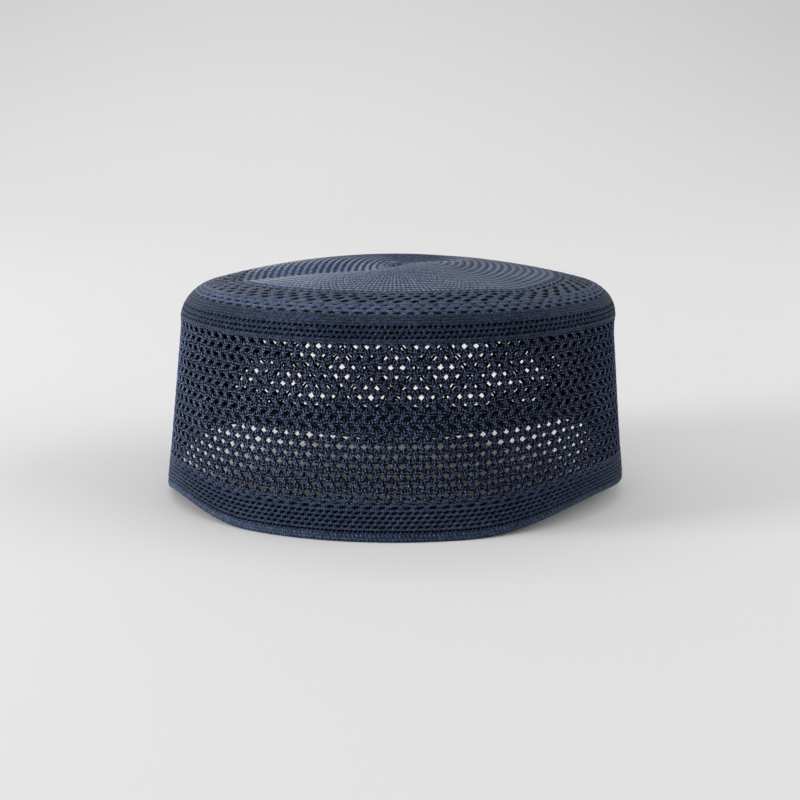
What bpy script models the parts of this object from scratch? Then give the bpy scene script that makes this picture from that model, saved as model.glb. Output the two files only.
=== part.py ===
# A knitted prayer cap: a soft oval drum of coarse net with a narrow hem and a low domed crown.
# Metres, +Z up. The origin is on the surface it stands on, under the middle of the cap.
# The front of the cap looks along -Y, and its long axis lies along X.

import math

import bmesh
import bpy
import numpy as np

# Plan of the rim
HALF_WIDTH = 0.100
HALF_DEPTH = 0.070

# Lengths measured up the cloth from the edge of the hem
HEM_HEIGHT = 0.0042
DENSE_BAND_HEIGHT = 0.0120
WALL_LENGTH = 0.0755
NET_TOP_MARGIN = 0.0022

# Side view
WALL_LEAN_DEG = 7.0
SHOULDER_RADIUS = 0.0165
CROWN_EDGE_SLOPE_DEG = 17.7
CROWN_JOINT_SHARE = 0.20  # share of the shoulder's roll that belongs to the side wall

# Cloth
KNIT_THICKNESS = 0.0016
HEM_THICKNESS = 0.0020
JOINT_GAP = 0.0004

# Net, drawn with fewer and larger gaps than the real one
NET_COLUMNS = 24
NET_CELL_ROWS = 3
NET_BAR = 0.0042

# How finely the round forms are drawn
RIM_SEGMENTS = 96
CROWN_SEGMENTS = 72
SHOULDER_STEPS = 4
CROWN_STEPS = 7

# Waves of the rim: the cap touches down in front and behind, and lifts between
RIM_LIFT = 0.0180
RIM_FLARE = 0.0060
LIFT_LENGTH = 0.0420
LIFT_KEPT_ABOVE = 0.25  # share of the lift that the whole wall takes part in

# Columns: angle round the oval from +X in degrees, share of RIM_LIFT
RIM_WAVE = (
    (0.0, 0.28),
    (30.0, 1.00),
    (84.0, 0.00),
    (94.0, 0.00),
    (146.0, 0.80),
    (183.0, 0.12),
    (204.0, 0.33),
    (235.0, 0.00),
    (286.0, 0.00),
    (328.0, 0.48),
    (360.0, 0.28),
)

# Folds and dents of the crown
DENT_DEPTH = 0.0050
BACK_SWELL = 0.0030

# Columns: middle across, middle back, half length, half width, all as shares of the crown's
# half width and half depth; turn in degrees from +X; share of DENT_DEPTH
CROWN_DENTS = (
    (-0.42, -0.04, 0.42, 0.17, -1.0, 1.00),
    (0.16, 0.16, 0.16, 0.13, 12.0, 0.55),
    (0.55, -0.45, 0.30, 0.22, -38.0, 0.25),
)

OBJECT_NAME = "prayer_cap"
NAVY_CROWN = (0.020, 0.035, 0.075, 1.0)
NAVY_NET = (0.014, 0.024, 0.052, 1.0)
NAVY_HEM = (0.012, 0.020, 0.044, 1.0)
NYLON_ROUGHNESS = 0.55

WALL_LEAN = math.radians(WALL_LEAN_DEG)
CROWN_EDGE_SLOPE = math.radians(CROWN_EDGE_SLOPE_DEG)
ROLL_ANGLE = math.pi / 2 - WALL_LEAN - CROWN_EDGE_SLOPE
ROLL_LENGTH = SHOULDER_RADIUS * ROLL_ANGLE
JOINT_LENGTH = WALL_LENGTH + CROWN_JOINT_SHARE * ROLL_LENGTH
NET_START = HEM_HEIGHT + JOINT_GAP + DENSE_BAND_HEIGHT
NET_END = JOINT_LENGTH - JOINT_GAP / 2 - NET_TOP_MARGIN


def side_line(length):
    """Inset from the rim and height of the cloth at this length up from the hem's edge."""
    straight = min(length, WALL_LENGTH) - HEM_HEIGHT
    inset = max(straight, 0.0) * math.sin(WALL_LEAN)
    height = min(length, HEM_HEIGHT) + max(straight, 0.0) * math.cos(WALL_LEAN)
    if length > WALL_LENGTH:
        lean = WALL_LEAN + (length - WALL_LENGTH) / SHOULDER_RADIUS
        inset += SHOULDER_RADIUS * (math.cos(WALL_LEAN) - math.cos(lean))
        height += SHOULDER_RADIUS * (math.sin(lean) - math.sin(WALL_LEAN))
    return inset, height


CROWN_EDGE_INSET, CROWN_EDGE_HEIGHT = side_line(WALL_LENGTH + ROLL_LENGTH)
CROWN_HALF_WIDTH = HALF_WIDTH - CROWN_EDGE_INSET
CROWN_HALF_DEPTH = HALF_DEPTH - CROWN_EDGE_INSET
CROWN_RISE = math.tan(CROWN_EDGE_SLOPE) * CROWN_HALF_DEPTH / 2


def crown_line(share):
    """Inset and height of the crown at this share of the way from its edge to its middle."""
    out = 1.0 - share
    inset = HALF_DEPTH - CROWN_HALF_DEPTH * out
    return inset, CROWN_EDGE_HEIGHT + CROWN_RISE * (1.0 - out * out)


def oval_table(steps=1440):
    """Angles of the rim's oval, and the share of its length that lies before each."""
    angle = np.linspace(0.0, 2.0 * math.pi, steps + 1)
    middle = (angle[1:] + angle[:-1]) / 2
    stride = np.hypot(HALF_WIDTH * np.sin(middle), HALF_DEPTH * np.cos(middle))
    length = np.concatenate([[0.0], np.cumsum(stride)])
    return angle, length / length[-1], length[-1] * (angle[1] - angle[0])


OVAL_ANGLE, OVAL_SHARE, RIM_LENGTH = oval_table()
DRUM_RADIUS = RIM_LENGTH / (2.0 * math.pi)


def rim_lift(angle):
    """Height of the hem's edge above the surface it stands on: half cosine waves between rows."""
    degrees = math.degrees(angle) % 360.0
    for (start, low), (end, high) in zip(RIM_WAVE, RIM_WAVE[1:]):
        if start <= degrees <= end:
            way = (1.0 - math.cos(math.pi * (degrees - start) / (end - start))) / 2
            return RIM_LIFT * (low + (high - low) * way)
    return 0.0


def crown_dent(x, y):
    """Depth of the crown's folds and dents at this place: smooth hollows, long in one direction."""
    depth = 0.0
    for across, back, half_length, half_width, turn, share in CROWN_DENTS:
        turned = math.radians(turn)
        dx = x - across * CROWN_HALF_WIDTH
        dy = y - back * CROWN_HALF_DEPTH
        along = (dx * math.cos(turned) + dy * math.sin(turned)) / (half_length * CROWN_HALF_WIDTH)
        over = (dy * math.cos(turned) - dx * math.sin(turned)) / (half_width * CROWN_HALF_DEPTH)
        depth += share * DENT_DEPTH * math.exp(-(along**4) - over**2)
    return depth


def back_swell(x, y):
    """Extra height of the crown's back half, which fades out at its edge."""
    out = math.hypot(x / CROWN_HALF_WIDTH, y / CROWN_HALF_DEPTH)
    back = 0.5 + 0.5 * math.tanh(4.0 * y / CROWN_HALF_DEPTH)
    return BACK_SWELL * back * max(0.0, 1.0 - out * out)


def cap_point(turn, inset, height):
    """Place on the cap of a point of the plain drum, with the oval plan, rim waves and dents."""
    angle = float(np.interp(turn % 1.0, OVAL_SHARE, OVAL_ANGLE))
    deep = HALF_DEPTH - inset
    wide = HALF_WIDTH - inset
    if inset > CROWN_EDGE_INSET:
        wide = CROWN_HALF_WIDTH * deep / CROWN_HALF_DEPTH
    x = wide * math.cos(angle)
    y = deep * math.sin(angle)
    if height < CROWN_EDGE_HEIGHT:
        lift = rim_lift(angle)
        fade = max(0.0, 1.0 - height / LIFT_LENGTH) ** 2
        kept = LIFT_KEPT_ABOVE * (1.0 - (height / CROWN_EDGE_HEIGHT) ** 2)
        flare = RIM_FLARE * fade * lift / RIM_LIFT * abs(math.sin(2.0 * angle))
        out = math.hypot(HALF_DEPTH * math.cos(angle), HALF_WIDTH * math.sin(angle))
        x += flare * HALF_DEPTH * math.cos(angle) / out
        y += flare * HALF_WIDTH * math.sin(angle) / out
        height += lift * ((1.0 - LIFT_KEPT_ABOVE) * fade + kept)
    else:
        height += back_swell(x, y) - crown_dent(x, y)
    return x, y, height


def fabric(name, colour):
    material = bpy.data.materials.new(name)
    material.use_nodes = True
    shader = material.node_tree.nodes["Principled BSDF"]
    shader.inputs["Base Color"].default_value = colour
    shader.inputs["Roughness"].default_value = NYLON_ROUGHNESS
    shader.inputs["Metallic"].default_value = 0.0
    material.diffuse_color = colour
    return material


def piece(name, mesh, material, thickness, collection):
    """Object of a cloth piece: the mesh is its outer face, and the wall lies inside it."""
    mesh.name = name
    mesh.materials.clear()
    mesh.materials.append(material)
    mesh.shade_smooth()
    mesh.set_sharp_from_angle(angle=math.radians(40.0))
    obj = bpy.data.objects.new(name, mesh)
    collection.objects.link(obj)
    wall = obj.modifiers.new("Wall", "SOLIDIFY")
    wall.thickness = thickness
    wall.offset = -1.0
    wall.use_even_offset = True
    return obj


def drum(segments, levels):
    """Open drum with one ring of points at each of these lengths up the cloth."""
    shape = bmesh.new()
    bmesh.ops.create_circle(shape, segments=segments, radius=DRUM_RADIUS)
    bmesh.ops.translate(shape, verts=shape.verts, vec=(0.0, 0.0, levels[0]))
    ring = shape.edges[:]
    for low, high in zip(levels, levels[1:]):
        made = bmesh.ops.extrude_edge_only(shape, edges=ring)["geom"]
        points = [item for item in made if isinstance(item, bmesh.types.BMVert)]
        bmesh.ops.translate(shape, verts=points, vec=(0.0, 0.0, high - low))
        ring = [
            item
            for item in made
            if isinstance(item, bmesh.types.BMEdge) and all(end in points for end in item.verts)
        ]
    return shape


def bend_drum(shape, name):
    """Mesh of the drum bent to the cap: its height is a length up the cloth."""
    for point in shape.verts:
        turn = math.atan2(point.co.y, point.co.x) / (2.0 * math.pi)
        inset, height = side_line(point.co.z)
        point.co = cap_point(turn, inset, height)
    bmesh.ops.recalc_face_normals(shape, faces=shape.faces)
    mesh = bpy.data.meshes.new(name)
    shape.to_mesh(mesh)
    shape.free()
    return mesh


def between(edge, low, high):
    """True where the middle of the edge lies inside these lengths, clear of both."""
    middle = (edge.verts[0].co.z + edge.verts[1].co.z) / 2
    return low + JOINT_GAP < middle < high - JOINT_GAP


def rim_band(material, collection):
    shape = drum(RIM_SEGMENTS, (0.0, HEM_HEIGHT))
    return piece("rim_band", bend_drum(shape, "rim_band"), material, HEM_THICKNESS, collection)


def side_wall(material, collection):
    """Net wall: each cell is cut from corner to corner, and each diamond so made gets a gap."""
    cell = (NET_END - NET_START) / NET_CELL_ROWS
    lattice = [NET_START + cell * row for row in range(NET_CELL_ROWS + 1)]
    levels = [HEM_HEIGHT + JOINT_GAP, *lattice, JOINT_LENGTH - JOINT_GAP / 2]
    shape = drum(NET_COLUMNS, levels)

    cells = [f for f in shape.faces if NET_START < f.calc_center_median().z < NET_END]
    frame = [e for e in shape.edges if between(e, NET_START, NET_END)]
    bmesh.ops.poke(shape, faces=cells)
    bmesh.ops.dissolve_edges(shape, edges=frame, use_verts=False)

    diamonds = [f for f in shape.faces if len({round(v.co.z, 6) for v in f.verts}) == 3]
    bmesh.ops.inset_individual(
        shape, faces=diamonds, thickness=NET_BAR / 2, use_even_offset=True
    )
    bmesh.ops.delete(shape, geom=diamonds, context="FACES")

    level_edges = [
        e
        for e in shape.edges
        if abs(e.verts[0].co.z - e.verts[1].co.z) < JOINT_GAP
        and not between(e, NET_START, NET_END)
    ]
    cuts = RIM_SEGMENTS // NET_COLUMNS - 1
    bmesh.ops.subdivide_edges(shape, edges=level_edges, cuts=cuts, use_grid_fill=True)
    return piece("side_wall", bend_drum(shape, "side_wall"), material, KNIT_THICKNESS, collection)


def crown(material, collection):
    """Crown: a turned profile from the middle out and down over the shoulder, then bent."""
    start = JOINT_LENGTH + JOINT_GAP / 2
    end = WALL_LENGTH + ROLL_LENGTH
    profile = [crown_line(1.0 - step / CROWN_STEPS) for step in range(CROWN_STEPS + 1)]
    for step in range(1, SHOULDER_STEPS + 1):
        profile.append(side_line(end + (start - end) * step / SHOULDER_STEPS))
    points = [(HALF_DEPTH - inset, 0.0, height) for inset, height in profile]
    edges = [(i, i + 1) for i in range(len(points) - 1)]
    line = bpy.data.meshes.new("crown_profile")
    line.from_pydata(points, edges, [])

    turned = bpy.data.objects.new("crown_turned", line)
    collection.objects.link(turned)
    screw = turned.modifiers.new("Turn", "SCREW")
    screw.steps = CROWN_SEGMENTS
    screw.render_steps = CROWN_SEGMENTS
    screw.use_merge_vertices = True
    screw.merge_threshold = 0.00001
    view = bpy.context.evaluated_depsgraph_get()
    mesh = bpy.data.meshes.new_from_object(turned.evaluated_get(view))
    bpy.data.objects.remove(turned)

    for point in mesh.vertices:
        turn = math.atan2(point.co.y, point.co.x) / (2.0 * math.pi)
        inset = HALF_DEPTH - math.hypot(point.co.x, point.co.y)
        point.co = cap_point(turn, inset, point.co.z)
    return piece("crown", mesh, material, KNIT_THICKNESS, collection)


def main():
    for obj in list(bpy.data.objects):
        bpy.data.objects.remove(obj)
    collection = bpy.data.collections.new(OBJECT_NAME)
    bpy.context.scene.collection.children.link(collection)
    rim_band(fabric("hem_knit", NAVY_HEM), collection)
    side_wall(fabric("net_knit", NAVY_NET), collection)
    crown(fabric("crown_knit", NAVY_CROWN), collection)


main()
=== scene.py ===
import math

import bpy
import numpy as np
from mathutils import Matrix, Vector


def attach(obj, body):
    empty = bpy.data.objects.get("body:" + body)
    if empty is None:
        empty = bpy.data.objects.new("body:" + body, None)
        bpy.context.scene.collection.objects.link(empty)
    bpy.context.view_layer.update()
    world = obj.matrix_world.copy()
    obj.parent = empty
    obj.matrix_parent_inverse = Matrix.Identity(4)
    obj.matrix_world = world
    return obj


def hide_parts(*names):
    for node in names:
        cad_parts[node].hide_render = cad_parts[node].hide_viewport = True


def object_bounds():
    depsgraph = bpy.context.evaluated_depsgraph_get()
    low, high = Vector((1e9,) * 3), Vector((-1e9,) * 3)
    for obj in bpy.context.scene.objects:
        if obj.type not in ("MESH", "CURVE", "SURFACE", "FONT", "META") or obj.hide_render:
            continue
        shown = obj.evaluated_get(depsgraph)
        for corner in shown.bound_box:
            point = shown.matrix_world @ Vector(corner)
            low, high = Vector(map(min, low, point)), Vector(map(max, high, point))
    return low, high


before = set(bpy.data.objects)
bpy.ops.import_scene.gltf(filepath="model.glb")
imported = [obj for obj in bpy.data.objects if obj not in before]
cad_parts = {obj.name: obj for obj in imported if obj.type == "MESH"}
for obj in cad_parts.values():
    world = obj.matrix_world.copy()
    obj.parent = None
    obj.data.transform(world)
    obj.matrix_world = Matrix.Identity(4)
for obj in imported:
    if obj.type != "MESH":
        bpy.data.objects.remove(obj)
cadBox = [list(corner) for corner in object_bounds()]
print("frame loaded:", sorted(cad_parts))


# The cap's own form. A place on it is (turn, length): turn goes round the oval from 0 to 1, counted from
# +X, and length goes up the cloth from the edge of the hem, over the shoulder and in to the middle of the
# crown. Metres and degrees.
cap = {
    "halfWidth": (cadBox[1][0] - cadBox[0][0]) / 2,
    "halfDepth": (cadBox[1][1] - cadBox[0][1]) / 2,
    "hem": 0.0037,
    "wall": 0.0755,  # where the shoulder starts to roll
    "lean": 7.0,
    "shoulder": 0.0165,
    "crownSlope": 17.7,
    "crownSpan": 0.0517,  # cloth from the crown's edge to its middle
    "lift": 0.0180,
    "flare": 0.0060,
    "liftFade": 0.0420,
    "liftKept": 0.25,
    "dent": 0.0050,
    "swell": 0.0030,
    "dentFade": (0.088, 0.100),
    "raise": 0.0010,  # the crown inside its shoulder stands this much higher
    "raiseFade": (0.084, 0.098),
    "narrow": 0.0125,  # share that the hem is drawn in across
    "leanRight": (-0.0003, 0.0013),  # the whole wall leans to +X: at the hem, and more at the top
    "fullRight": 0.0024,  # how far the shoulder stands out at the right end and at the left
    "fullLeft": 0.0010,
    "fullFrom": (0.068, 0.090),  # and where along the cloth that begins and is whole
}

# angle round the oval, share of the lift: the hem touches down in front and behind, and lifts between
rimWave = (
    (0, 0.28), (30, 1.00), (84, 0.00), (94, 0.00), (146, 0.80), (183, 0.12),
    (204, 0.33), (235, 0.00), (286, 0.00), (328, 0.48), (360, 0.28),
)

# middle across, middle back, half length, half width (shares of the crown), turn in degrees, share of
# the dent
crownDents = (
    (-0.42, -0.04, 0.42, 0.17, -1.0, 1.00),
    (0.16, 0.16, 0.16, 0.13, 12.0, 0.55),
    (0.55, -0.45, 0.30, 0.22, -38.0, 0.25),
)

lean = math.radians(cap["lean"])
rollAngle = math.pi / 2 - lean - math.radians(cap["crownSlope"])
rollLength = cap["shoulder"] * rollAngle
edgeLength = cap["wall"] + rollLength


def sideLine(length):
    # straight up the hem, then leaning in by the wall's lean, then round the shoulder's arc
    straight = np.clip(length, cap["hem"], cap["wall"]) - cap["hem"]
    turned = lean + np.clip(length - cap["wall"], 0, rollLength) / cap["shoulder"]
    inset = straight * math.sin(lean) + cap["shoulder"] * (math.cos(lean) - np.cos(turned))
    height = np.minimum(length, cap["hem"]) + straight * math.cos(lean)
    return inset, height + cap["shoulder"] * (np.sin(turned) - math.sin(lean))


edgeInset, edgeHeight = (float(value) for value in sideLine(np.array(edgeLength)))
crownWide = cap["halfWidth"] - edgeInset
crownDeep = cap["halfDepth"] - edgeInset
crownRise = math.tan(math.radians(cap["crownSlope"])) * crownDeep / 2

ovalAngle = np.linspace(0, 2 * math.pi, 1441)
ovalStride = np.hypot(cap["halfWidth"] * np.sin(ovalAngle), cap["halfDepth"] * np.cos(ovalAngle))
ovalShare = np.concatenate([[0], np.cumsum((ovalStride[1:] + ovalStride[:-1]) / 2)])
rimLength = ovalShare[-1] * (ovalAngle[1] - ovalAngle[0])
ovalShare = ovalShare / ovalShare[-1]


def smoothStep(value, low, high):
    # 3t^2 - 2t^3, with t running from 0 at low to 1 at high
    t = np.clip((value - low) / (high - low), 0, 1)
    return t * t * (3 - 2 * t)


def rimLift(angle):
    # half cosine waves between the rows of rimWave
    degrees = np.degrees(angle) % 360
    knots, shares = np.array(rimWave, float).T
    row = np.clip(np.searchsorted(knots, degrees, side="right") - 1, 0, len(knots) - 2)
    way = (1 - np.cos(math.pi * (degrees - knots[row]) / (knots[row + 1] - knots[row]))) / 2
    return cap["lift"] * (shares[row] + (shares[row + 1] - shares[row]) * way)


def crownRelief(x, y):
    # the back half swells by tanh, and each dent sinks by exp(-along^4 - over^2)
    out = np.hypot(x / crownWide, y / crownDeep)
    relief = cap["swell"] * (0.5 + 0.5 * np.tanh(4 * y / crownDeep)) * np.maximum(0, 1 - out * out)
    for across, back, halfLength, halfWidth, turn, share in crownDents:
        c, s = math.cos(math.radians(turn)), math.sin(math.radians(turn))
        dx, dy = x - across * crownWide, y - back * crownDeep
        along = (dx * c + dy * s) / (halfLength * crownWide)
        over = (dy * c - dx * s) / (halfWidth * crownDeep)
        relief = relief - share * cap["dent"] * np.exp(-(along**4) - over**2)
    return relief


def crownShare(length):
    # 1 up to the crown's edge, then falling evenly to 0 at its middle
    return 1 - np.clip((length - edgeLength) / cap["crownSpan"], 0, 1)


def capPoint(turn, length):
    # the oval of the rim, drawn in by the side line's inset, then shrunk to nothing over the domed crown;
    # rim waves lift the lower cloth, relief bends the crown, and the shoulder stands out at both ends
    angle = np.interp(turn % 1.0, ovalShare, ovalAngle)
    inset, height = sideLine(length)
    out = crownShare(length)
    onCrown = length > edgeLength
    wide = np.where(onCrown, crownWide * out, cap["halfWidth"] - inset)
    deep = np.where(onCrown, crownDeep * out, cap["halfDepth"] - inset)
    height = np.where(onCrown, edgeHeight + crownRise * (1 - out * out), height)
    x, y = wide * np.cos(angle), deep * np.sin(angle)
    lift = rimLift(angle)
    fade = np.maximum(0, 1 - height / cap["liftFade"]) ** 2
    kept = cap["liftKept"] * (1 - np.minimum(height / edgeHeight, 1) ** 2)
    flare = cap["flare"] * fade * lift / cap["lift"]
    flare = flare * np.maximum(0, np.sin(angle)) * 2 * np.abs(np.cos(angle))
    outX, outY = cap["halfDepth"] * np.cos(angle), cap["halfWidth"] * np.sin(angle)
    outSize = np.hypot(outX, outY)
    relief = crownRelief(x, y) * smoothStep(length, *cap["dentFade"])
    level = np.minimum(height / edgeHeight, 1)
    full = np.where(np.cos(angle) > 0, cap["fullRight"], cap["fullLeft"])
    full = full * np.cos(angle) * np.abs(np.cos(angle))
    x = x * (1 - cap["narrow"] * (1 - level)) + (cap["leanRight"][0] + cap["leanRight"][1] * level) * out
    x = x + full * smoothStep(length, *cap["fullFrom"]) * out**1.5
    height = height + lift * ((1 - cap["liftKept"]) * fade + kept) + relief
    height = height + cap["raise"] * smoothStep(length, *cap["raiseFade"])
    return np.stack([x + flare * outX / outSize, y + flare * outY / outSize, height], axis=-1)


def capPlace(turn, length, out):
    # the cap's point at (turn, length), pushed off the cloth by out along the cross product of its two
    # tangents, and that direction
    step, rise = 2e-4, 1e-4
    length = np.minimum(length, edgeLength + cap["crownSpan"] - 2 * rise)
    point = capPoint(turn, length)
    around = capPoint(turn + step, length) - capPoint(turn - step, length)
    upward = capPoint(turn, length + rise) - capPoint(turn, length - rise)
    normal = np.cross(around, upward)
    normal /= np.linalg.norm(normal, axis=-1, keepdims=True)
    return point + normal * np.asarray(out)[..., None], normal


def ringLength(length):
    # length of one turn of the cloth here: the rim's oval less 2 pi times the inset, then shrinking to 0
    inset, _ = sideLine(length)
    return (rimLength - 2 * math.pi * inset) * crownShare(length)


def addPiece(name, points, faces, corners, values, material, nodes):
    # puts whole arrays into one mesh: points (n, 3), quads (f, 4), a map place for each corner and floats
    # for each point
    mesh = bpy.data.meshes.new(name)
    mesh.vertices.add(len(points))
    mesh.vertices.foreach_set("co", points.astype(np.float32).ravel())
    mesh.loops.add(faces.size)
    mesh.loops.foreach_set("vertex_index", faces.astype(np.int32).ravel())
    mesh.polygons.add(len(faces))
    mesh.polygons.foreach_set("loop_start", np.arange(0, faces.size, 4, dtype=np.int32))
    mesh.update(calc_edges=True)
    layer = mesh.uv_layers.new(name="OFBake")
    layer.uv.foreach_set("vector", corners.astype(np.float32).ravel())
    for label, value in values.items():
        made = mesh.attributes.new(label, "FLOAT", "POINT")
        made.data.foreach_set("value", value.astype(np.float32).ravel())
    mesh.shade_smooth()
    mesh.materials.append(material)
    piece = bpy.data.objects.new(name, mesh)
    bpy.context.scene.collection.objects.link(piece)
    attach(piece, "root")
    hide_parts(*nodes)
    print(f"{name}: {2 * len(faces)} triangles")


def noiseWaves(turn, length, seed, count=9, finest=60, tall=0.012):
    # sum of sine waves of whole numbers of turns, with seeded counts and phases; about -1 to 1
    draw = np.random.default_rng(seed)
    total = 0
    for _ in range(count):
        waves = draw.integers(2, finest)
        total = total + np.sin(
            2 * math.pi * (waves * turn + draw.random()) + draw.normal() * length / tall * 2
        )
    return total / math.sqrt(count)


mapHeight = 0.15  # metres of cloth for one height of the map
holeSteps = np.array([-1.6, -0.8, 0.0, 0.8, 1.6])
closestLevels = 0.00009
unevenHoles = (0.00009, 0.00004)  # metres that holes wander along a row and across it
unevenWaves = {"count": 12, "finest": 160, "tall": 0.004}
holeShade = 1.15  # how much stronger the painted shade in a hole is than its depth


def holeField(turn, length, rows):
    # 1 in the middle of a hole and 0 between holes: 1 / (1 + q^3), q the squared distance from the nearest
    # hole's middle in half sizes, after a climb. A row is (length, holes, shift, half along, half up,
    # climb).
    field = np.zeros(np.broadcast(turn, length).shape)
    around = ringLength(length)
    turn = turn + unevenHoles[0] / around * noiseWaves(turn, length, 31, **unevenWaves)
    length = length + unevenHoles[1] * noiseWaves(turn, length, 37, **unevenWaves)
    for at, holes, shift, halfAlong, halfUp, climb in rows:
        beside = ((turn * holes + shift) % 1.0 - 0.5) / holes * around
        above = length - at - climb * beside
        q = (beside / halfAlong) ** 2 + (above / halfUp) ** 2
        field = np.maximum(field, 1 / (1 + q**3))
    return field


def rowLevels(low, high, rows, most):
    # levels between low and high at holeSteps times the half height of each row of holes; none closer than
    # closestLevels, and more where two lie further apart than most
    middle, half = np.array([(row[0], row[4]) for row in rows]).T
    at = middle[:, None] + half[:, None] * holeSteps
    levels = [low]
    for level in np.append(np.sort(at.ravel()), high):
        gap = level - levels[-1]
        if low < level <= high and gap > closestLevels:
            parts = math.ceil(gap / most)
            levels.extend(levels[-1] + gap * np.arange(1, parts + 1) / parts)
    return np.array(levels)


def wallRing(name, columns, levels, thick, relief, material, nodes, rim=0.0003):
    # a closed wall round the cap: its profile runs up the outer face through levels, over a rounded rim and
    # down the inner face. relief(turn, length) gives the outer face's height and how much painted shade
    # lies on it.
    levels = np.asarray(levels, float)
    inner = np.linspace(levels[-1] - rim, levels[0] + rim, 4)
    outer = np.stack([levels, np.zeros_like(levels)], axis=1)
    inside = np.stack([inner, np.full_like(inner, -thick)], axis=1)
    top = np.array([[levels[-1] + rim * 0.6, -thick * 0.5]])
    bottom = np.array([[levels[0] - rim * 0.6, -thick * 0.5]])
    profile = np.concatenate([outer, top, inside, bottom])
    turn = (np.arange(columns) / columns)[:, None]
    height, holeAndShade = relief(turn, levels[None, :])
    out = np.tile(profile[:, 1], (columns, 1))
    shade = np.zeros_like(out)
    out[:, : len(levels)] += height
    shade[:, : len(levels)] = holeAndShade
    lengths = np.tile(profile[:, 0], (columns, 1))
    points, _ = capPlace(np.broadcast_to(turn, out.shape), lengths, out)
    i, j = np.meshgrid(np.arange(columns), np.arange(len(profile)), indexing="ij")
    i2, j2 = i + 1, j + 1
    corners = np.stack([np.stack([a, b], -1) for a, b in ((i, j), (i2, j), (i2, j2), (i, j2))], axis=2)
    corners = corners.reshape(-1, 4, 2)
    faces = (corners[..., 0] % columns) * len(profile) + corners[..., 1] % len(profile)
    upward = profile[corners[..., 1] % len(profile), 0] / mapHeight
    place = np.stack([corners[..., 0] / columns, upward], -1)
    addPiece(name, points.reshape(-1, 3), faces, place, {"holeAndShade": shade}, material, nodes)


def yarnTubes(centres, normals, radius, flat=1.0, sides=4):
    # a ring of points round every point of every centre line: radius wide to the line's own side and flat
    # times that off the surface, its first point outward; one quad closes each end
    along = np.gradient(centres, axis=1)
    side = np.cross(along, normals)
    side /= np.linalg.norm(side, axis=-1, keepdims=True)
    up = np.cross(side, along)
    up /= np.linalg.norm(up, axis=-1, keepdims=True)
    angle = math.pi / 2 + 2 * math.pi * np.arange(sides) / sides
    ring = np.cos(angle)[:, None] * side[..., None, :] + flat * np.sin(angle)[:, None] * up[..., None, :]
    points = centres[..., None, :] + np.asarray(radius)[..., None, None] * ring
    lines, steps = centres.shape[:2]
    line, step, k = np.meshgrid(np.arange(lines), np.arange(steps - 1), np.arange(sides), indexing="ij")
    first = (line * steps + step) * sides
    k2 = (k + 1) % sides
    quads = np.stack([first + k, first + sides + k, first + sides + k2, first + k2], -1).reshape(-1, 4)
    start = np.arange(lines)[:, None] * steps * sides
    low = start + np.arange(sides)[None, :]
    high = start + (steps - 1) * sides + np.arange(sides)[None, ::-1]
    return points.reshape(-1, 3), np.concatenate([quads, low, high])


def newGroup(name, inputs, outputs):
    # an empty shader group with named sockets: (name, kind, value) for each input and (name, kind) for each
    # output
    group = bpy.data.node_groups.new(name, "ShaderNodeTree")
    for label, kind, value in inputs:
        made = group.interface.new_socket(label, in_out="INPUT", socket_type=kind)
        if value is not None:
            made.default_value = value
    for label, kind in outputs:
        group.interface.new_socket(label, in_out="OUTPUT", socket_type=kind)
    return group, group.nodes.new("NodeGroupInput"), group.nodes.new("NodeGroupOutput")


def mathNode(tree, kind, first, second=None):
    # one maths node; first and second are numbers or sockets
    node = tree.nodes.new("ShaderNodeMath")
    node.operation = kind
    for socket, value in zip(node.inputs, (first, second)):
        if isinstance(value, (int, float)):
            socket.default_value = value
        elif value is not None:
            tree.links.new(value, socket)
    return node.outputs[0]


def mixColour(tree, kind, factor, first, second):
    # one colour mix node; a factor is a number or a socket, a colour a tuple or a socket
    node = tree.nodes.new("ShaderNodeMix")
    node.data_type = "RGBA"
    node.blend_type = kind
    for socket, value in ((node.inputs[0], factor), (node.inputs[6], first), (node.inputs[7], second)):
        if isinstance(value, (int, float, tuple)):
            socket.default_value = value
        else:
            tree.links.new(value, socket)
    return node.outputs[2]


# The nylon itself, the same in every piece
fibre = {
    "blotchScale": 38.0,
    "blotchDetail": 3.0,
    "blotchFrom": 0.35,  # noise at which a blotch begins to look worn
    "blotchShare": 0.8,
    "fleckScale": 900.0,
    "fleckDetail": 2.0,
    "fleckGain": 5.0,
    "fleckDrop": 1.45,
    "fleckLeast": 0.3,
    "fleckMost": 2.0,
    "highlightFrom": 0.35,  # stitch height at which the painted highlight begins
    "highlightShare": 1.1,
    # shade attribute at which the painted shade begins and is whole
    "shadeFrom": 0.12,
    "shadeWhole": 0.62,
    "holeRough": 0.55,  # roughness added in a hole
    "sheenRough": 0.3,
    "sheenTint": (1.0, 0.97, 0.95, 1),
    "ior": 1.5,
}


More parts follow.
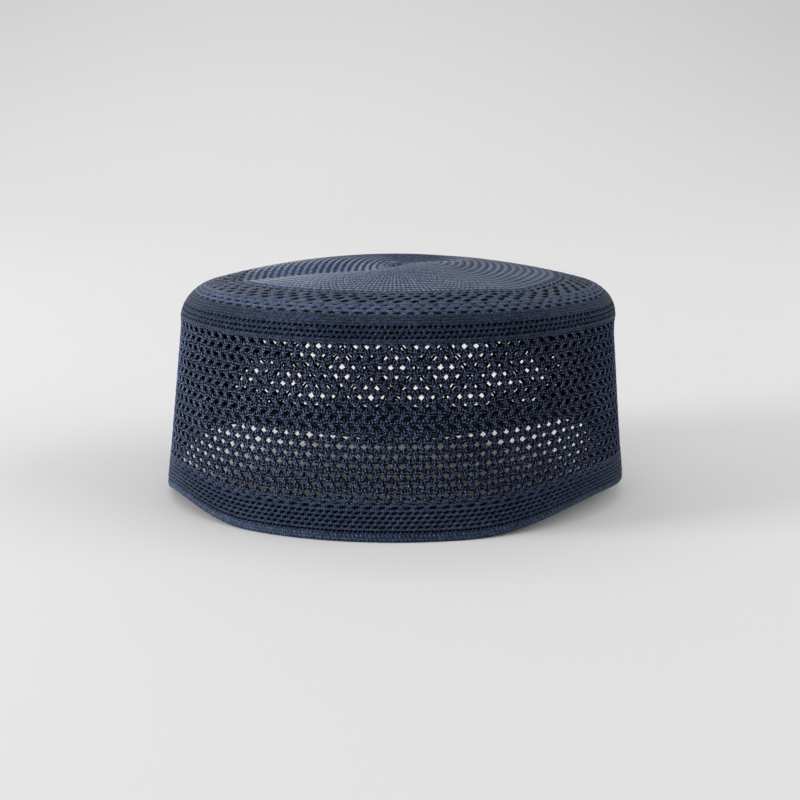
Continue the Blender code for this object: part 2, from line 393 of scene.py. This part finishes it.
def makeStitchGroup():
    # rows of small V stitches: height = sin(2 pi (rows v + slant |fraction(columns u) - 1/2|)) times the
    # height of the stitch's two legs
    group, given, made = newGroup(
        "knitStitch",
        (("Vector", "NodeSocketVector", None), ("Columns", "NodeSocketFloat", 212.0),
         ("Rows", "NodeSocketFloat", 60.0), ("Slant", "NodeSocketFloat", 1.0)),
        (("Height", "NodeSocketFloat"),),
    )
    split = group.nodes.new("ShaderNodeSeparateXYZ")
    group.links.new(given.outputs["Vector"], split.inputs[0])
    column = mathNode(group, "MULTIPLY", split.outputs[0], given.outputs["Columns"])
    column = mathNode(group, "FRACT", column)
    leg = mathNode(group, "ABSOLUTE", mathNode(group, "SUBTRACT", column, 0.5))
    row = mathNode(group, "MULTIPLY", split.outputs[1], given.outputs["Rows"])
    phase = mathNode(group, "ADD", row, mathNode(group, "MULTIPLY", leg, given.outputs["Slant"]))
    wave = mathNode(group, "SINE", mathNode(group, "MULTIPLY", phase, 2 * math.pi))
    wave = mathNode(group, "ADD", mathNode(group, "MULTIPLY", wave, 0.5), 0.5)
    legs = mathNode(group, "SINE", mathNode(group, "MULTIPLY", leg, 2 * math.pi))
    group.links.new(mathNode(group, "MULTIPLY", wave, legs), made.inputs["Height"])
    return group


def makeToneGroup():
    # colour and roughness of the nylon, with painted light: the colour goes towards the lighter colour by
    # the blotch and again, as a painted highlight, on high stitches, then towards deep, the painted shade
    # colour, by the greater of the shade attribute and the painted valley shade (1 - height)^2, and is
    # multiplied by the fleck; roughness grows with the painted shade
    group, given, made = newGroup(
        "nylonWithPaintedLight",
        (("Colour", "NodeSocketColor", None), ("Deep", "NodeSocketColor", None),
         ("Wornlit", "NodeSocketColor", None), ("Shade", "NodeSocketFloat", 0.0),
         ("Height", "NodeSocketFloat", 0.5), ("Grain", "NodeSocketFloat", 1.0),
         ("Valley", "NodeSocketFloat", 0.5), ("Fleck", "NodeSocketFloat", 1.0),
         ("Roughness", "NodeSocketFloat", 0.5)),
        (("Colour", "NodeSocketColor"), ("Roughness", "NodeSocketFloat")),
    )
    place = group.nodes.new("ShaderNodeTexCoord")
    noises = []
    for scale, detail in (
        (fibre["blotchScale"], fibre["blotchDetail"]),
        (fibre["fleckScale"], fibre["fleckDetail"]),
    ):
        noise = group.nodes.new("ShaderNodeTexNoise")
        noise.inputs["Scale"].default_value = scale
        noise.inputs["Detail"].default_value = detail
        group.links.new(place.outputs["Object"], noise.inputs["Vector"])
        noises.append(noise.outputs["Fac"])
    blotch = mathNode(group, "SUBTRACT", noises[0], fibre["blotchFrom"])
    blotch = mathNode(group, "MULTIPLY", blotch, fibre["blotchShare"])
    wornlit = mixColour(group, "MIX", blotch, given.outputs["Colour"], given.outputs["Wornlit"])
    height = mathNode(group, "SUBTRACT", given.outputs["Height"], 0.5)
    height = mathNode(group, "ADD", mathNode(group, "MULTIPLY", height, given.outputs["Grain"]), 0.5)
    # painted highlight: high stitches go towards the lighter colour
    high = mathNode(group, "SUBTRACT", height, fibre["highlightFrom"])
    high = mathNode(group, "MULTIPLY", high, fibre["highlightShare"])
    node = group.nodes.new("ShaderNodeClamp")
    group.links.new(high, node.inputs[0])
    wornlit = mixColour(group, "MIX", node.outputs[0], wornlit, given.outputs["Wornlit"])
    # painted shade: the stitch valleys, by (1 - height)^2 times Valley, and the shade attribute take the
    # colour towards deep
    low = mathNode(group, "SUBTRACT", 1.0, height)
    low = mathNode(group, "MULTIPLY", mathNode(group, "MULTIPLY", low, low), given.outputs["Valley"])
    sharp = group.nodes.new("ShaderNodeMapRange")
    sharp.interpolation_type = "SMOOTHSTEP"
    sharp.inputs["From Min"].default_value = fibre["shadeFrom"]
    sharp.inputs["From Max"].default_value = fibre["shadeWhole"]
    group.links.new(given.outputs["Shade"], sharp.inputs["Value"])
    deep = mathNode(group, "MAXIMUM", low, sharp.outputs["Result"])
    colour = mixColour(group, "MIX", deep, wornlit, given.outputs["Deep"])
    fleck = mathNode(group, "MULTIPLY", noises[1], fibre["fleckGain"])
    fleck = mathNode(group, "SUBTRACT", fleck, fibre["fleckDrop"])
    fleck = mathNode(group, "MAXIMUM", fleck, fibre["fleckLeast"])
    fleck = mathNode(group, "MINIMUM", fleck, fibre["fleckMost"])
    fleck = mathNode(group, "MULTIPLY", mathNode(group, "SUBTRACT", fleck, 1.0), given.outputs["Fleck"])
    fleck = mathNode(group, "ADD", fleck, 1.0)
    grey = group.nodes.new("ShaderNodeCombineColor")
    for socket in grey.inputs[:3]:
        group.links.new(fleck, socket)
    group.links.new(mixColour(group, "MULTIPLY", 1.0, colour, grey.outputs[0]), made.inputs["Colour"])
    rough = mathNode(group, "MULTIPLY", deep, fibre["holeRough"])
    rough = mathNode(group, "ADD", given.outputs["Roughness"], rough)
    group.links.new(rough, made.inputs["Roughness"])
    return group


stitchGroup = makeStitchGroup()
toneGroup = makeToneGroup()


def nylon(name, look):
    # Principled nylon: the tone group gives colour, with painted shade and painted highlight, and
    # roughness; the bump is knitStitch's height or, on a yarn, (sin(strand) + 1) / 2
    material = bpy.data.materials.new(name)
    material.use_nodes = True
    tree = material.node_tree
    shader = tree.nodes["Principled BSDF"]
    shader.inputs["Sheen Weight"].default_value = look["sheen"]
    shader.inputs["Sheen Roughness"].default_value = fibre["sheenRough"]
    shader.inputs["Sheen Tint"].default_value = fibre["sheenTint"]
    shader.inputs["IOR"].default_value = fibre["ior"]
    shader.inputs["Specular IOR Level"].default_value = look["gloss"]
    tone = tree.nodes.new("ShaderNodeGroup")
    tone.node_tree = toneGroup
    for label in ("colour", "deep", "wornlit", "roughness", "valley", "grain", "fleck"):
        tone.inputs[label.capitalize()].default_value = look[label]
    tree.links.new(tone.outputs["Colour"], shader.inputs["Base Color"])
    tree.links.new(tone.outputs["Roughness"], shader.inputs["Roughness"])
    # the attribute read here carries painted shade into the colour
    holeAndShade = tree.nodes.new("ShaderNodeAttribute")
    holeAndShade.attribute_name = "holeAndShade"
    tree.links.new(holeAndShade.outputs["Fac"], tone.inputs["Shade"])
    if "columns" in look:
        stitch = tree.nodes.new("ShaderNodeGroup")
        stitch.node_tree = stitchGroup
        place = tree.nodes.new("ShaderNodeUVMap")
        place.uv_map = "OFBake"
        tree.links.new(place.outputs["UV"], stitch.inputs["Vector"])
        for label in ("columns", "rows", "slant"):
            stitch.inputs[label.capitalize()].default_value = look[label]
        height = stitch.outputs["Height"]
    else:
        strand = tree.nodes.new("ShaderNodeAttribute")
        strand.attribute_name = "strand"
        height = mathNode(tree, "SINE", strand.outputs["Fac"])
        height = mathNode(tree, "ADD", mathNode(tree, "MULTIPLY", height, 0.5), 0.5)
    tree.links.new(height, tone.inputs["Height"])
    bump = tree.nodes.new("ShaderNodeBump")
    bump.inputs["Strength"].default_value = look["bump"]
    bump.inputs["Distance"].default_value = look["bumpDepth"]
    tree.links.new(height, bump.inputs["Height"])
    tree.links.new(bump.outputs["Normal"], shader.inputs["Normal"])
    return material


# The net: two families of braided yarn bundles, one leaning right and one left, woven over and under
net = {
    "columns": 106,
    "rows": 16,
    "low": 0.0163,
    "high": 0.0771,
    "yarns": 3,  # yarns braided in a bundle
    "radius": 0.00031,
    "flat": 0.65,  # thickness of a yarn, as a share of its width
    "spread": 0.00054,  # from the bundle's middle to the braid's side at a crossing
    "open": 0.00076,  # and how much farther between crossings
    "rise": 0.00008,  # how far the braid's yarns go over and under each other
    "pull": 0.12,  # how upright a bundle stands where it crosses another
    "over": 0.00009,  # and how far it goes over or under the other
    "twist": 30.0,  # radians that a yarn's fibres turn in a row
    "stray": 0.5,  # radians that a yarn strays from its place in the braid
    "thinYarn": 0.7,  # share of stretch that a yarn's own thickness takes
    "uneven": (0.07, 0.12),  # share that a bundle's and a yarn's width vary
    "sink": 0.0005,  # middle of the net below the face of the bands
    "stretch": 0.66,  # share that the bundles are thinned behind, where the cloth is drawn wider
    "stretchFrom": (0.55, 0.90),  # sine of the angle where that begins and where it is whole
    "fold": 1.1,  # share that the core is widened at the ends, where the cloth is drawn together
    "foldLeft": (0.00, 0.15, 0.50, 0.66),  # sine of the angle where that begins, is whole, ends and is gone
    "foldRight": (-0.95, 0.15, 0.50, 0.66),
    "steps": 6,  # points for each row of a yarn
    "coreSteps": 2.6,  # and of a core
    "coreFlat": 0.15,
    # painted shade laid evenly over the whole core
    "coreShade": 0.5,
    "coreWide": 0.96,  # half width of the core, as a share of the bundle's
    "coreAside": 0.00016,  # how far the middle of the bundles that lean left shows past their upper side
    "coreDeep": 0.00026,
    "tuck": 0.45,  # rows that the yarns run on behind the bands
    "tuckDeep": 0.0004,  # and how far behind
    "wander": 0.035,  # unevenness, as a share of a column
    "shade": (0.0, 0.55, 0.97, 0.55),  # painted shade on a yarn: on top, at its side, below and at its side
    "under": 0.66,  # and more painted shade where its bundle passes below another
    "tuckedShade": 0.46,  # and painted shade where it passes below its own bundle's other yarns
    # in every look, deep is the painted shade colour, valley the strength of painted shade in stitch
    # valleys, and the third colour also the painted highlight
    "look": {
        "colour": (0.031, 0.052, 0.117, 1), "deep": (0.0007, 0.0009, 0.002, 1),
        "wornlit": (0.190, 0.246, 0.430, 1), "roughness": 0.36, "gloss": 0.10, "sheen": 0.08,
        "valley": 0.35, "grain": 0.7, "fleck": 0.7,
        "bump": 0.4, "bumpDepth": 0.0001,
    },
    # near-black colours: painted shade of the shadowed yarns inside a bundle
    "coreShadeLook": {
        "colour": (0.004, 0.006, 0.013, 1), "deep": (0.001, 0.0012, 0.003, 1),
        "wornlit": (0.008, 0.011, 0.022, 1), "roughness": 0.7, "gloss": 0.02, "sheen": 0.0,
        "valley": 0.35, "grain": 1.0, "fleck": 0.5,
        "bump": 0.5, "bumpDepth": 0.0001,
    },
}


def bundlePaths(steps):
    # bundle path: column = start +- (row / 2 - pull sin(2 pi row) / 2 pi), so that it stands up at each
    # crossing, and +- over cos(pi row) off the cloth; its half width is spread + open sin^2(pi row), less
    # the share stretch behind
    pitch = (net["high"] - net["low"]) / net["rows"]
    span = net["rows"] - 1 + 2 * (0.5 + net["tuck"])
    row = np.linspace(-0.5 - net["tuck"], net["rows"] - 0.5 + net["tuck"], round(span * steps) + 1)
    start = np.arange(net["columns"])
    way = np.repeat([1.0, -1.0], net["columns"])[:, None]
    start = np.concatenate([start, start])[:, None]
    column = start + way * (row / 2 - net["pull"] * np.sin(2 * math.pi * row) / (2 * math.pi))
    slope = way * (0.5 - net["pull"] * np.cos(2 * math.pi * row))
    length = np.broadcast_to(net["low"] + pitch * (row + 0.5), column.shape)
    width = ringLength(length) / net["columns"]
    angle = np.interp(column / net["columns"] % 1.0, ovalShare, ovalAngle)
    thinned = 1 - net["stretch"] * smoothStep(np.sin(angle), *net["stretchFrom"])
    half = (net["spread"] + net["open"] * np.sin(math.pi * row) ** 2) * thinned
    half = half * (1 + net["uneven"][0] * noiseWaves(column / net["columns"], length, 7, 14, 53))
    column = column + net["wander"] * noiseWaves(column / net["columns"], length, 5, 14, 53)
    ends = np.minimum(row + 0.5 + net["tuck"], net["rows"] - 0.5 + net["tuck"] - row)
    above = way * np.cos(math.pi * row)
    out = net["over"] * above - net["sink"]
    out = out - net["tuckDeep"] * (1 - smoothStep(ends, 0, net["tuck"]))
    size = np.hypot(slope * width, pitch)
    toSide = (pitch / size / width, -slope * width / size)  # a metre to the side, in columns and in length
    return {
        "row": row, "way": way, "column": column, "length": length, "out": out, "toSide": toSide,
        "half": half, "above": above, "angle": angle,
    }


def netPlace(turn, length, sides):
    # the map place of each point of a tube's rings
    place = np.stack([turn % 1.0, length / mapHeight], -1)
    return np.repeat(place[:, :, None, :], sides, axis=2).reshape(-1, 2)


def makeNet():
    # yarn i of a bundle is braided with the others: half width times sin t to the side of its path and rise
    # times sin 2t off the cloth, t = 2 pi (row + i / yarns + the bundle's own start) and a little stray
    sides = 4
    material = nylon("netNylon", net["look"])
    path = bundlePaths(net["steps"])
    row, column = path["row"], path["column"]
    starts = np.random.default_rng(61).random((len(column), 1))
    for yarn in range(net["yarns"]):
        t = 2 * math.pi * (row + yarn / net["yarns"] + starts)
        t = t + net["stray"] * noiseWaves(column / net["columns"], path["length"], 71, 14, 90)
        aside = path["half"] * np.sin(t)
        turn = (column + aside * path["toSide"][0]) / net["columns"]
        up = path["length"] + aside * path["toSide"][1]
        centres, normals = capPlace(turn, up, path["out"] + net["rise"] * np.sin(2 * t))
        behind = smoothStep(np.sin(path["angle"]), *net["stretchFrom"])
        radius = net["radius"] * (1 - net["thinYarn"] * net["stretch"] * behind)
        radius = radius * (1 + net["uneven"][1] * noiseWaves(turn, up, 11 + yarn))
        points, faces = yarnTubes(centres, normals, radius, net["flat"], sides)
        twist = np.broadcast_to(row[None, :, None] * net["twist"], turn.shape + (sides,))
        strand = twist + np.arange(sides) * math.pi / 2
        # painted shade: each yarn is darker where its bundle passes below another and where it dips below
        # its own bundle's other yarns
        shadeBelow = net["under"] * (1 - path["above"]) / 2 * np.abs(path["above"])
        shadeBelow = shadeBelow + net["tuckedShade"] * (1 - np.sin(2 * t)) / 2
        holeAndShade = np.clip(np.array(net["shade"]) + shadeBelow[..., None], 0, max(net["shade"]))
        addPiece(
            f"net_yarn_{yarn + 1}", points, faces, netPlace(turn, up, sides)[faces],
            {"strand": strand.ravel(), "holeAndShade": holeAndShade.ravel()}, material, ["side_wall"],
        )
    makeCore(sides)


def makeCore(sides):
    # one flat yarn closes each bundle behind its braid, its near-black colour a painted shade of the
    # bundle's shadowed inner yarns: coreWide (half + radius) to each side, and wider by the share fold
    # where the cloth is drawn together
    path = bundlePaths(net["coreSteps"])
    behind = np.sin(path["angle"])
    left, right = (
        smoothStep(behind, begin, whole) * (1 - smoothStep(behind, ends, gone))
        for begin, whole, ends, gone in (net["foldLeft"], net["foldRight"])
    )
    folded = np.where(np.cos(path["angle"]) < 0, left, right)
    aside = np.where(path["way"] < 0, net["coreAside"], 0.0)
    turn = (path["column"] + aside * path["toSide"][0]) / net["columns"]
    up = path["length"] + aside * path["toSide"][1]
    centres, normals = capPlace(turn, up, path["out"] - net["coreDeep"])
    wide = net["coreWide"] * (path["half"] + net["radius"]) * (1 + net["fold"] * folded)
    points, faces = yarnTubes(centres, normals, wide, net["coreFlat"], sides)
    strand = np.broadcast_to(path["row"][None, :, None] * net["twist"], wide.shape + (sides,))
    addPiece(
        "net_core", points, faces, netPlace(turn, up, sides)[faces],
        {"strand": strand.ravel(), "holeAndShade": np.full(len(points), net["coreShade"])},
        nylon("coreShadedNylon", net["coreShadeLook"]), ["side_wall"],
    )


# The hem: a narrow folded edge with fine upright stitches
hem = {
    "columns": 1288,
    "low": 0.0001,
    "levels": 9,
    "ribs": 322,
    "lean": 0.45,  # ribs that a stitch leans by over the hem's height
    "thick": 0.0018,
    "bulge": 0.0004,
    "rib": 0.00040,
    "paintedShade": (0.55, 0.15),  # painted shade in the valleys between ribs, and at the hem's two edges
    "look": {
        "colour": (0.019, 0.034, 0.070, 1), "deep": (0.001, 0.002, 0.005, 1),
        "wornlit": (0.078, 0.111, 0.188, 1), "roughness": 0.38, "gloss": 0.10, "sheen": 0.10,
        "valley": 0.35, "grain": 0.8, "fleck": 0.7,
        "columns": 322.0, "rows": 107.0, "slant": 0.9, "bump": 0.9, "bumpDepth": 0.00030,
    },
}


def hemRelief(turn, length):
    # rounded across its height by bulge (1 - h^2), with leaning ribs of |cos| round the cap, and painted
    # shade in the valleys between ribs and at its two edges
    h = 2 * length / cap["hem"] - 1
    ribs = np.abs(np.cos(math.pi * (hem["ribs"] * turn + hem["lean"] * h)))
    height = hem["bulge"] * (1 - h * h) - hem["bulge"] + hem["rib"] * (ribs - 1)
    return height, hem["paintedShade"][0] * (1 - ribs) ** 1.5 + hem["paintedShade"][1] * h * h


# The dense band over the hem: rows of short slots that climb to the right, between close stitches
band = {
    "columns": 1288,
    "low": 0.0038,
    "high": 0.0168,
    "most": 0.0005,  # widest gap between levels
    # length, holes, shift, half along, half up, climb
    "slots": (
        (0.0044, 322, 0.0, 0.00050, 0.00036, 0.0),
        (0.0062, 184, 0.0, 0.00076, 0.00040, 0.25),
        (0.0080, 184, 0.5, 0.00078, 0.00044, 0.30),
        (0.0098, 184, 0.0, 0.00082, 0.00046, 0.30),
        (0.0117, 184, 0.5, 0.00086, 0.00048, 0.30),
        (0.0138, 106, 0.0, 0.00130, 0.00048, 0.10),
        (0.0157, 106, 0.5, 0.00100, 0.00066, 0.10),
    ),
    "ridge": 0.00024,
    "pitch": 0.0018,
    "depth": 0.0014,
    "thick": 0.0016,
    "look": {
        "colour": (0.0142, 0.0232, 0.049, 1), "deep": (0.0006, 0.0009, 0.002, 1),
        "wornlit": (0.063, 0.085, 0.146, 1), "roughness": 0.38, "gloss": 0.05, "sheen": 0.10,
        "valley": 0.35, "grain": 0.45, "fleck": 0.6,
        "columns": 276.0, "rows": 83.3, "slant": 0.8, "bump": 0.9, "bumpDepth": 0.00030,
    },
}


def bandRelief(turn, length):
    # slots sunk by depth, with painted shade in them, and ridges of cos half way between their rows
    holeAndShade = holeField(turn, length, band["slots"])
    ridge = band["ridge"] * (1 + np.cos(2 * math.pi * (length - band["slots"][1][0]) / band["pitch"]))
    return -band["depth"] * holeAndShade - ridge, np.minimum(holeShade * holeAndShade, 1)


# The shoulder: a plain strip over the net, three rows of round eyelets and a dense ring
shoulder = {
    "columns": 848,
    "low": 0.0768,
    "high": 0.0884,
    "most": 0.0006,
    "eyelets": (
        (0.0790, 212, 0.0, 0.00070, 0.00038, 0.2),
        (0.0809, 212, 0.5, 0.00056, 0.00050, 0.2),
        (0.0832, 212, 0.0, 0.00056, 0.00056, 0.3),
    ),
    "depth": 0.0014,
    "thick": 0.0016,
    "look": {
        "colour": (0.0100, 0.0172, 0.0365, 1), "deep": (0.0007, 0.001, 0.002, 1),
        "wornlit": (0.053, 0.073, 0.128, 1), "roughness": 0.40, "gloss": 0.05, "sheen": 0.15,
        "valley": 0.35, "grain": 0.7, "fleck": 0.8,
        "columns": 265.0, "rows": 125.0, "slant": 1.0, "bump": 0.9, "bumpDepth": 0.00035,
    },
}


def shoulderRelief(turn, length):
    # eyelets sunk by depth, with painted shade in them
    holeAndShade = holeField(turn, length, shoulder["eyelets"])
    return -shoulder["depth"] * holeAndShade, np.minimum(holeShade * holeAndShade, 1)


# The openwork ring round the crown's edge: slots, then rows of wide slanted holes
openwork = {
    "columns": 700,
    "low": 0.0882,
    "high": 0.1045,
    "most": 0.0005,
    "holes": (
        (0.0892, 90, 0.0, 0.00150, 0.00045, 0.0),
        (0.0912, 90, 0.5, 0.00105, 0.00045, 0.1),
        (0.0932, 90, 0.0, 0.00080, 0.00040, 0.2),
        (0.0958, 62, 0.0, 0.00150, 0.00080, 0.35),
        (0.0979, 62, 0.43, 0.00160, 0.00080, 0.35),
        (0.1000, 62, 0.78, 0.00140, 0.00075, 0.40),
        (0.1022, 100, 0.0, 0.00095, 0.00038, 0.2),
        (0.1038, 100, 0.5, 0.00080, 0.00034, 0.2),
    ),
    "ridge": 0.00012,
    "pitch": 0.0021,
    "depth": 0.0005,
    "thick": 0.0021,
    "look": {
        "colour": (0.040, 0.064, 0.120, 1), "deep": (0.001, 0.0012, 0.003, 1),
        "wornlit": (0.124, 0.170, 0.278, 1), "roughness": 0.38, "gloss": 0.08, "sheen": 0.15,
        "valley": 0.45, "grain": 0.7, "fleck": 0.6,
        "columns": 248.0, "rows": 143.0, "slant": 1.0, "bump": 0.9, "bumpDepth": 0.00035,
    },
}


def openworkRelief(turn, length):
    # holes sunk by depth, with painted shade in them, and ridges of cos
    holeAndShade = holeField(turn, length, openwork["holes"])
    swell = openwork["ridge"] * (np.cos(2 * math.pi * (length - openwork["low"]) / openwork["pitch"]) - 1)
    return -openwork["depth"] * holeAndShade + swell, np.minimum(holeShade * holeAndShade, 1)


# The crown: rings of stitches, one ridge each with small slots between, that run in to the knot
rings = {
    "columns": 480,
    "low": 0.1045,
    "high": 0.1448,
    "pitch": 0.00194,
    "ridge": 0.00018,
    "endFade": 0.75,
    "endFrom": (0.45, 0.95),  # cosine of the turn where that begins and is whole
    "knotFade": 0.6,
    "knotFrom": (0.125, 0.142),
    "unevenRidge": 0.2,
    "paintedShade": (0.5, 0.62),  # painted shade in the slots and in the valleys
    "slots": 100,
    "half": (0.00060, 0.00040),  # half size of a slot along the ring and across it
    "depth": 0.0002,
    "samples": 5,  # levels for each ring
    "thick": 0.0016,
    "look": {
        "colour": (0.051, 0.083, 0.155, 1), "deep": (0.002, 0.005, 0.013, 1),
        "wornlit": (0.125, 0.178, 0.300, 1), "roughness": 0.40, "gloss": 0.14, "sheen": 0.25,
        "valley": 0.70, "grain": 1.0, "fleck": 0.50,
        "columns": 90.0, "rows": 77.3, "slant": 0.3, "bump": 0.7, "bumpDepth": 0.00025,
    },
}


def ringsRelief(turn, length):
    # ridges of |sin|, one for each ring, with a row of slots in each valley, and painted shade in the
    # slots and the valleys; all fade by knotFade towards the knot, and the ridges and their valley shade
    # are weaker by endFade where the cloth is drawn out at the ends
    count = round((rings["high"] - rings["low"]) / rings["pitch"])
    rows = [
        (rings["low"] + rings["pitch"] * row, rings["slots"], 0.5 * (row % 2), *rings["half"], 0.2)
        for row in range(count)
    ]
    fade = 1 - rings["knotFade"] * smoothStep(length, *rings["knotFrom"])
    holeAndShade = holeField(turn, length, rows) * fade
    ridge = np.abs(np.sin(math.pi * (length - rings["low"]) / rings["pitch"]))
    ends = smoothStep(np.abs(np.cos(2 * math.pi * turn)), *rings["endFrom"])
    full = fade * (1 - rings["endFade"] * ends)
    uneven = 1 + rings["unevenRidge"] * noiseWaves(turn, length, 23)
    height = rings["ridge"] * (ridge * uneven - 1) * full
    # painted shade in the ring valleys
    valley = rings["paintedShade"][1] * (1 - ridge) ** 0.9 * full
    return height - rings["depth"] * holeAndShade, np.maximum(rings["paintedShade"][0] * holeAndShade, valley)


def makeBands():
    # the five closed rings of cloth, from the hem up; the hem and the crown's rings have even levels
    levels = np.linspace(hem["low"], cap["hem"], hem["levels"])
    wallRing(
        "hem_edge", hem["columns"], levels, hem["thick"], hemRelief,
        nylon("hemNylon", hem["look"]), ["rim_band"],
    )
    levels = rowLevels(band["low"], band["high"], band["slots"], band["most"])
    wallRing(
        "band_knit", band["columns"], levels, band["thick"], bandRelief,
        nylon("bandNylon", band["look"]), ["side_wall"],
    )
    levels = rowLevels(shoulder["low"], shoulder["high"], shoulder["eyelets"], shoulder["most"])
    wallRing(
        "shoulder_knit", shoulder["columns"], levels, shoulder["thick"], shoulderRelief,
        nylon("shoulderNylon", shoulder["look"]), ["side_wall", "crown"],
    )
    levels = rowLevels(openwork["low"], openwork["high"], openwork["holes"], openwork["most"])
    wallRing(
        "openwork_ring", openwork["columns"], levels, openwork["thick"], openworkRelief,
        nylon("openworkNylon", openwork["look"]), ["crown"],
    )
    count = round((rings["high"] - rings["low"]) / rings["pitch"] * rings["samples"])
    levels = np.linspace(rings["low"], rings["high"], count + 1)
    wallRing(
        "crown_rings", rings["columns"], levels, rings["thick"], ringsRelief,
        nylon("crownNylon", rings["look"]), ["crown"],
    )


# The knot that closes the crown's middle
knot = {
    "radius": 0.0030,
    "high": 0.0011,
    "puckers": 9,
    "pucker": 0.12,
    "pole": 0.02,  # radians left open at each pole, for the strip of quads
    "columns": 60,
    "rows": 20,
    "look": {
        "colour": (0.055, 0.080, 0.145, 1), "deep": (0.010, 0.015, 0.032, 1),
        "wornlit": (0.120, 0.110, 0.130, 1), "roughness": 0.5, "gloss": 0.14, "sheen": 0.25,
        "valley": 0.70, "grain": 1.0, "fleck": 0.50,
        "columns": 9.0, "rows": 5.0, "slant": 1.0, "bump": 0.5, "bumpDepth": 0.0002,
    },
}


def makeKnot():
    # a flattened ball: x, y = r sin a (1 + puckers), z = -high cos a, with a strip of quads over each pole
    columns, rows = knot["columns"], knot["rows"]
    turn = np.arange(columns) / columns
    a = np.linspace(knot["pole"], math.pi - knot["pole"], rows)
    puckers = np.cos(2 * math.pi * knot["puckers"] * turn)[:, None]
    gather = 1 + knot["pucker"] * puckers * np.sin(a) ** 2
    middle = capPoint(np.array(0.0), np.array(edgeLength + cap["crownSpan"] - 1e-6))
    x = knot["radius"] * np.sin(a) * np.cos(2 * math.pi * turn)[:, None] * gather
    y = knot["radius"] * np.sin(a) * np.sin(2 * math.pi * turn)[:, None] * gather
    z = -knot["high"] * np.cos(a) * np.ones((columns, 1))
    points = (np.stack([x, y, z], -1) + middle).reshape(-1, 3)
    i, j = np.meshgrid(np.arange(columns), np.arange(rows - 1), indexing="ij")
    i2 = (i + 1) % columns
    quads = np.stack([i * rows + j, i2 * rows + j, i2 * rows + j + 1, i * rows + j + 1], -1).reshape(-1, 4)
    k = np.arange(columns // 2 - 1)
    pole = np.stack([k, k + 1, columns - 2 - k, columns - 1 - k], -1) * rows
    quads = np.concatenate([quads, pole[:, ::-1], pole + rows - 1])
    place = np.stack([np.repeat(turn, rows), np.tile(a / math.pi, columns)], -1)
    addPiece(
        "crown_knot", points, quads, place[quads], {"holeAndShade": np.zeros(len(points))},
        nylon("knotNylon", knot["look"]), ["crown"],
    )


# Floor, light and camera
studio = {
    "floorColour": (0.732, 0.722, 0.724, 1),
    "floorRough": 0.9,
    "sweepBack": 1.0,
    "sweepRadius": 4.0,
    "sweepHalf": 4.0,
    "front": -3.0,
    "wall": 1.0,  # how far the wall goes on above the sweep
    "air": (0.34, 0.53),  # strength of the light from the horizon and from straight above
    "camera": (0.0019, -0.4932, 0.1703),
    "pitch": 75.0,
    "lens": 53.2,
    # name: (place, aim, power, size)
    "lights": {
        "topLight": ((-0.4, -0.6, 2.1), (0.0, 0.0, 0.05), 8.0, 2.4),
        "leftLight": ((-1.4, -0.1, 1.2), (0.0, 0.0, 0.05), 0.5, 1.6),
        "lowLight": ((-1.5, -0.35, 0.17), (0.0, 0.0, 0.06), 47.0, 0.5),
        "rightLight": ((1.6, -0.3, 0.9), (0.0, 0.0, 0.05), 16.5, 1.4),
        "backLight": ((-0.4, 1.2, 2.2), (-0.2, 3.2, 0.6), 23.0, 2.0),
    },
}


def makeFloor():
    # a sweep: flat, then a quarter circle up into a wall, the same all along X
    arc = np.linspace(0, math.pi / 2, 17)
    radius, back, half = studio["sweepRadius"], studio["sweepBack"], studio["sweepHalf"]
    y = np.concatenate([[studio["front"]], back + radius * np.sin(arc), [back + radius]])
    z = np.concatenate([[0], radius - radius * np.cos(arc), [radius + studio["wall"]]])
    x = np.array([-half, half])
    points = np.stack(np.broadcast_arrays(x[:, None], y[None], z[None]), -1).reshape(-1, 3)
    j = np.arange(len(y) - 1)
    faces = np.stack([j, j + len(y), j + len(y) + 1, j + 1], -1)
    mesh = bpy.data.meshes.new("floor")
    mesh.from_pydata(points.tolist(), [], faces.tolist())
    mesh.shade_smooth()
    material = bpy.data.materials.new("floorPaper")
    material.use_nodes = True
    shader = material.node_tree.nodes["Principled BSDF"]
    shader.inputs["Base Color"].default_value = studio["floorColour"]
    shader.inputs["Roughness"].default_value = studio["floorRough"]
    mesh.materials.append(material)
    floor = bpy.data.objects.new("floor", mesh)
    bpy.context.scene.collection.objects.link(floor)


def makeLight():
    # the air's strength runs from the horizon's to the zenith's with the height of the direction; each area
    # light looks from its place at its aim
    scene = bpy.context.scene
    world = bpy.data.worlds.new("studioAir")
    world.use_nodes = True
    tree = world.node_tree
    place = tree.nodes.new("ShaderNodeTexCoord")
    split = tree.nodes.new("ShaderNodeSeparateXYZ")
    tree.links.new(place.outputs["Generated"], split.inputs[0])
    ramp = tree.nodes.new("ShaderNodeMapRange")
    ramp.inputs["To Min"].default_value, ramp.inputs["To Max"].default_value = studio["air"]
    tree.links.new(split.outputs[2], ramp.inputs["Value"])
    air = tree.nodes["Background"]
    air.inputs["Color"].default_value = (1.0, 1.0, 1.0, 1)
    tree.links.new(ramp.outputs["Result"], air.inputs["Strength"])
    scene.world = world
    for name, (place, aim, power, size) in studio["lights"].items():
        data = bpy.data.lights.new(name, "AREA")
        data.energy = power
        data.size = size
        light = bpy.data.objects.new(name, data)
        light.location = place
        look = np.array(aim) - np.array(place)
        light.rotation_euler = (
            math.acos(-look[2] / np.linalg.norm(look)), 0, math.atan2(look[1], look[0]) - math.pi / 2
        )
        scene.collection.objects.link(light)
    scene.view_settings.view_transform = "Standard"


def makeCamera():
    data = bpy.data.cameras.new("camera")
    data.lens = studio["lens"]
    data.sensor_width = 36.0
    camera = bpy.data.objects.new("camera", data)
    camera.location = studio["camera"]
    camera.rotation_euler = (math.radians(studio["pitch"]), 0, 0)
    bpy.context.scene.collection.objects.link(camera)
    bpy.context.scene.camera = camera


makeCamera()
makeFloor()
makeLight()
print("studio ready")
makeBands()
makeNet()
makeKnot()
print("cap ready")
